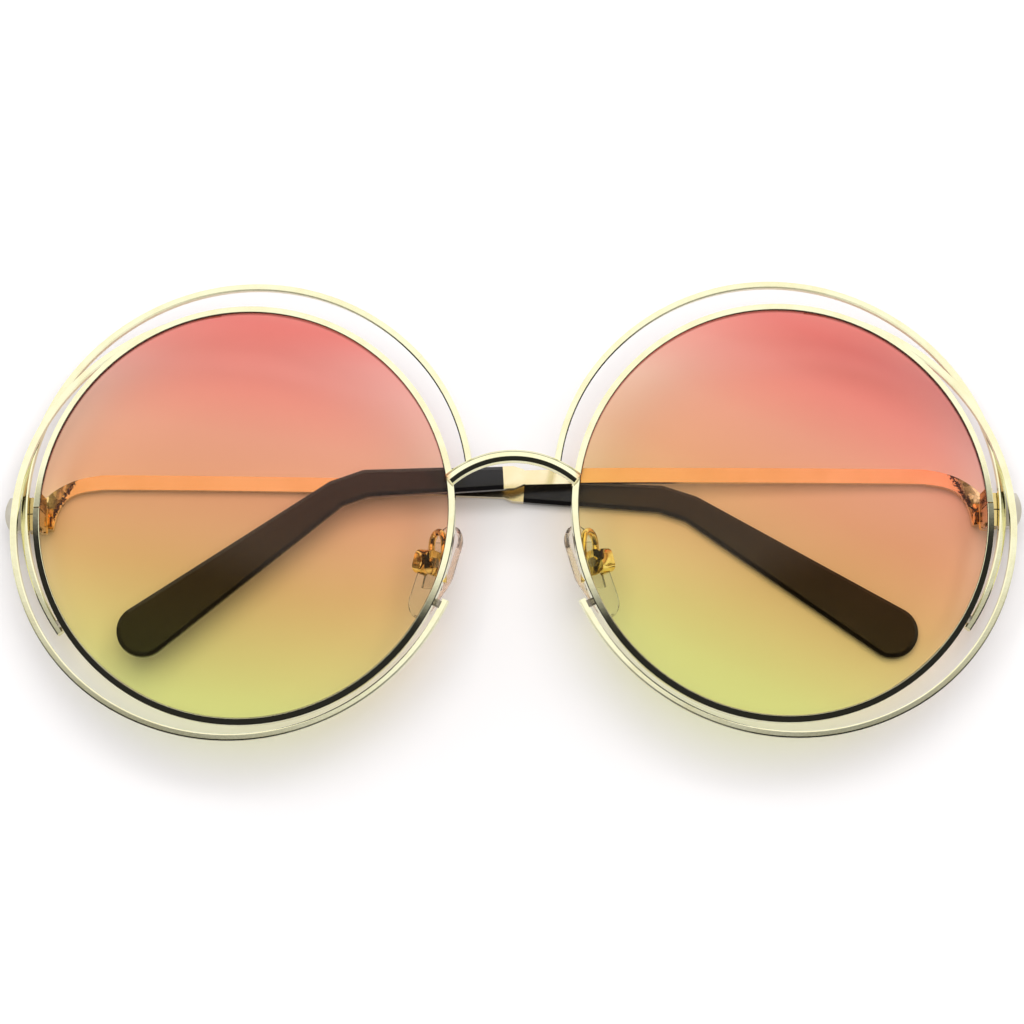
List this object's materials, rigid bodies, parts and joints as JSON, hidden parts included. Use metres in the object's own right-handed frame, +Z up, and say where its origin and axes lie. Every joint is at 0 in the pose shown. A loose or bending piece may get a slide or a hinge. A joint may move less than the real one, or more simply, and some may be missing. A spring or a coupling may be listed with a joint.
{
  "type": "oversized sunglasses",
  "caption": "Folding oversized round sunglasses: thin metal rims with offset wrap wires, an arched bridge, rocking nose pads and hinged temples.",
  "frame": {"origin": "on the table under the middle of the outline, with the glasses folded and lying lenses up", "axes": "+X across the front to the side that is on the right in the picture, +Y to the brow, +Z up, out of the front of the lenses"},
  "size_m": [0.1518, 0.0688, 0.0199],
  "materials": {
    "gold_rim": "polished gold plate",
    "gradient_lens": "tinted from coral at the top through orange to yellow-green at the bottom, hard-coated",
    "gold_wire": "polished gold plate",
    "solder": "rough, plated over",
    "cream_bridge": "polished, cream enamel on top with a dark line",
    "champagne_metal": "satin, pale",
    "gold_block": "polished gold plate",
    "screw_steel": "turned",
    "hinge_gold": "polished gold plate",
    "pad_arm_gold": "polished gold plate",
    "cream_band": "cream enamel over gold plate",
    "dark_tip": "polished",
    "pad_core": "moulded",
    "pad_silicone": "clear silicone"
  },
  "bodies": {
    "front": {"left_rim": "gold_rim", "right_rim": "gold_rim", "left_lens": "gradient_lens", "right_lens": "gradient_lens", "left_upper_wire": "gold_wire", "right_upper_wire": "gold_wire", "left_lower_wire": "gold_wire", "right_lower_wire": "gold_wire", "left_upper_wire_post": "solder", "right_upper_wire_post": "solder", "left_lower_wire_post": "solder", "right_lower_wire_post": "solder", "bridge": "cream_bridge", "left_end_piece": "champagne_metal", "right_end_piece": "champagne_metal", "left_upper_closing_block": "gold_block", "right_upper_closing_block": "gold_block", "left_lower_closing_block": "gold_block", "right_lower_closing_block": "gold_block", "closing_screws": "screw_steel", "left_front_hinge_knuckles": "hinge_gold", "right_front_hinge_knuckles": "hinge_gold", "hinge_screws": "screw_steel", "left_pad_arm": "pad_arm_gold", "right_pad_arm": "pad_arm_gold", "pad_screws": "screw_steel"},
    "left_temple_arm": {"left_temple": "cream_band", "left_temple_tip": "dark_tip", "left_temple_hinge_knuckle": "hinge_gold"},
    "right_temple_arm": {"right_temple": "cream_band", "right_temple_tip": "dark_tip", "right_temple_hinge_knuckle": "hinge_gold"},
    "left_pad": {"left_nose_pad": "pad_silicone", "left_pad_insert": "pad_core"},
    "right_pad": {"right_nose_pad": "pad_silicone", "right_pad_insert": "pad_core"}
  },
  "joints": [
    {"name": "left_temple_hinge", "type": "hinge", "parent": "front", "child": "left_temple_arm", "pos_m": [-0.07039, 0.00023, 0.0033], "axis": [0, 1, 0], "range_deg": [0, 93]},
    {"name": "right_temple_hinge", "type": "hinge", "parent": "front", "child": "right_temple_arm", "pos_m": [0.07039, 0.00023, 0.0033], "axis": [0, -1, 0], "range_deg": [0, 93]},
    {"name": "left_pad_rock", "type": "hinge", "parent": "front", "child": "left_pad", "pos_m": [-0.01275, -0.00777, 0.01122], "axis": [-0.6472, 0.1798, -0.7408], "range_deg": [-8, 8]},
    {"name": "right_pad_rock", "type": "hinge", "parent": "front", "child": "right_pad", "pos_m": [0.01275, -0.00777, 0.01122], "axis": [0.6472, 0.1798, -0.7408], "range_deg": [-8, 8]}
  ]
}
